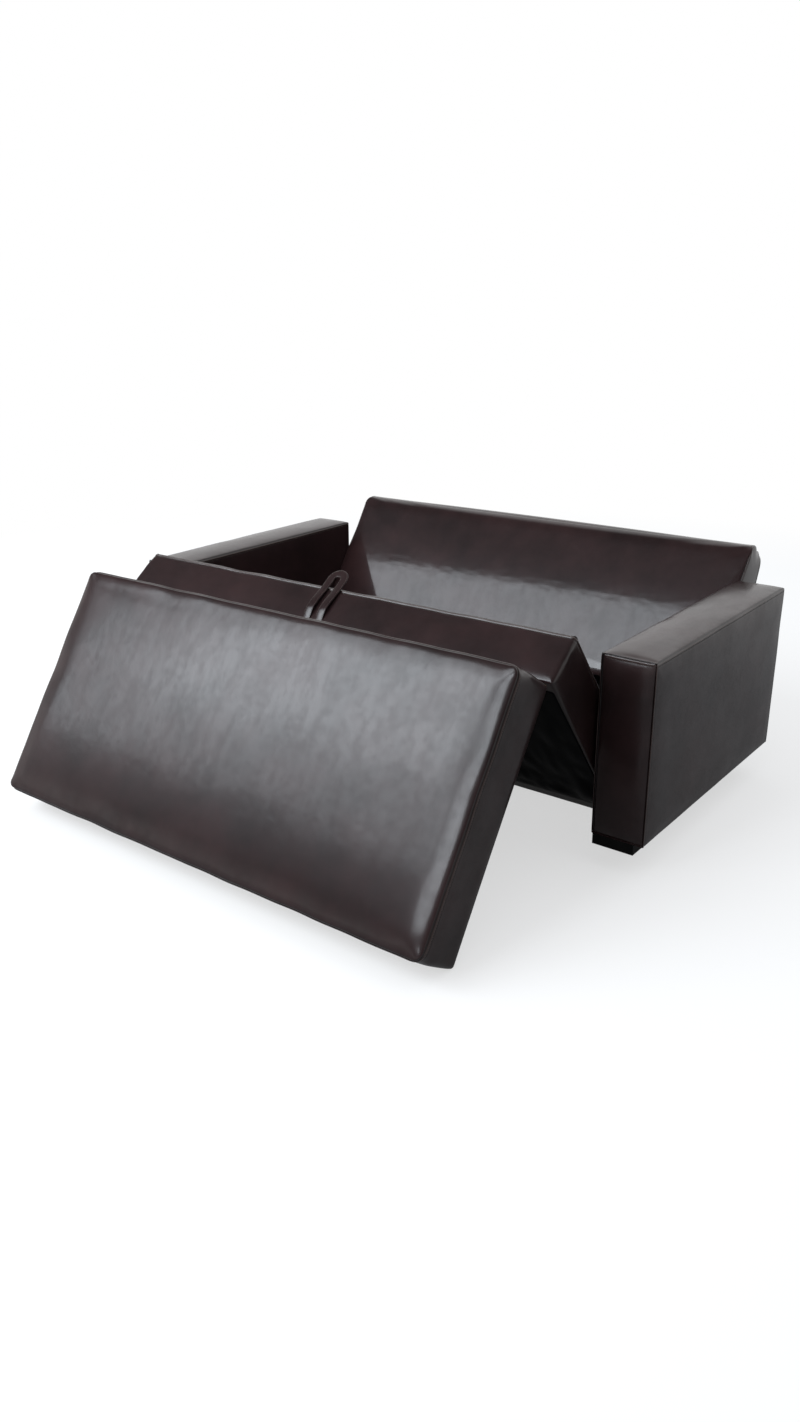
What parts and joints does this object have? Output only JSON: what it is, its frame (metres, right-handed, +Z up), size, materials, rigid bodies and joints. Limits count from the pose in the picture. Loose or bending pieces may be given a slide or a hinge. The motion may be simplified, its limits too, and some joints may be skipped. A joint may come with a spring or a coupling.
{
  "type": "three-fold sofa bed",
  "caption": "Leather-covered sofa bed with box arms and a low wedge backrest, its hinged padded sections half unfolded.",
  "frame": {"origin": "middle of the bounding box at rest, on the floor", "axes": "+X along the sofa's width to the sitter's left, +Y from the front of the bed towards the backrest, +Z up"},
  "size_m": [1.87, 1.813, 0.7112],
  "materials": {
    "brown_leather": "satin",
    "black_lining": "matte",
    "foam": "matte",
    "timber": "matte",
    "black_board": "matte",
    "black_plastic": "satin",
    "painted_steel": "satin",
    "zinc_steel": "satin"
  },
  "bodies": {
    "sofa_frame": {"right_arm_cover": "brown_leather", "left_arm_cover": "brown_leather", "right_arm_padding": "foam", "left_arm_padding": "foam", "right_arm_frame": "timber", "left_arm_frame": "timber", "base_boards": "black_board", "sofa_legs": "black_plastic", "leg_pads": "black_plastic", "leg_screws": "zinc_steel", "backrest_cover": "brown_leather", "backrest_padding": "foam", "backrest_frame": "timber", "backrest_lining": "black_lining", "backrest_bolts": "zinc_steel", "rear_stretcher": "black_board", "stretcher_brackets": "painted_steel", "slide_rails": "painted_steel"},
    "rear_section": {"rear_section_cover": "brown_leather", "rear_section_padding": "foam", "rear_section_frame": "timber", "rear_section_slats": "timber", "rear_section_dust_cover": "black_lining", "rear_section_feet": "black_plastic", "rear_hinge_plates": "zinc_steel", "rear_plate_screws": "zinc_steel", "guide_runners": "black_plastic"},
    "rear_hinge_rivets": {"rear_hinge_rivets": "zinc_steel"},
    "middle_section": {"middle_section_cover": "brown_leather", "middle_section_padding": "foam", "middle_section_frame": "timber", "middle_section_slats": "timber", "middle_section_dust_cover": "black_lining", "middle_hinge_plates": "zinc_steel", "middle_plate_screws": "zinc_steel", "middle_hinge_leaves": "zinc_steel", "middle_leaf_screws": "zinc_steel", "pull_strap": "brown_leather", "strap_clamp": "painted_steel", "strap_clamp_screws": "painted_steel"},
    "front_hinge_pins": {"front_hinge_pins": "zinc_steel"},
    "front_section": {"front_section_cover": "brown_leather", "front_section_padding": "foam", "front_section_frame": "timber", "front_section_slats": "timber", "front_section_dust_cover": "black_lining", "front_section_feet": "black_plastic", "front_foot_screws": "zinc_steel", "front_hinge_leaves": "zinc_steel", "front_leaf_screws": "zinc_steel"}
  },
  "joints": [
    {"name": "rear_section_slide", "type": "slide", "parent": "sofa_frame", "child": "rear_section", "axis": [0, -1, 0], "range_m": [0, 0.27]},
    {"name": "unfold", "type": "hinge", "parent": "rear_section", "child": "rear_hinge_rivets", "pos_m": [0, 0.13429, 0.1623], "axis": [1, 0, 0], "range_deg": [0, 52.3]},
    {"name": "close", "type": "hinge", "parent": "rear_hinge_rivets", "child": "middle_section", "pos_m": [0, 0.13429, 0.1623], "axis": [1, 0, 0], "range_deg": [-127.7, 0]},
    {"name": "front_fold_close", "type": "hinge", "parent": "middle_section", "child": "front_hinge_pins", "pos_m": [0, -0.39057, 0.58384], "axis": [1, 0, 0], "range_deg": [0, 71.25]},
    {"name": "front_fold_unfold", "type": "hinge", "parent": "front_hinge_pins", "child": "front_section", "pos_m": [0, -0.39057, 0.58384], "axis": [1, 0, 0], "range_deg": [-108.75, 0]}
  ],
  "couplings": [
    {"joint": "rear_section_slide", "follows": "close", "m_per_rad": -0.12114},
    {"joint": "front_fold_close", "follows": "close", "ratio": -0.55795},
    {"joint": "front_fold_unfold", "follows": "unfold", "ratio": -2.0793}
  ]
}
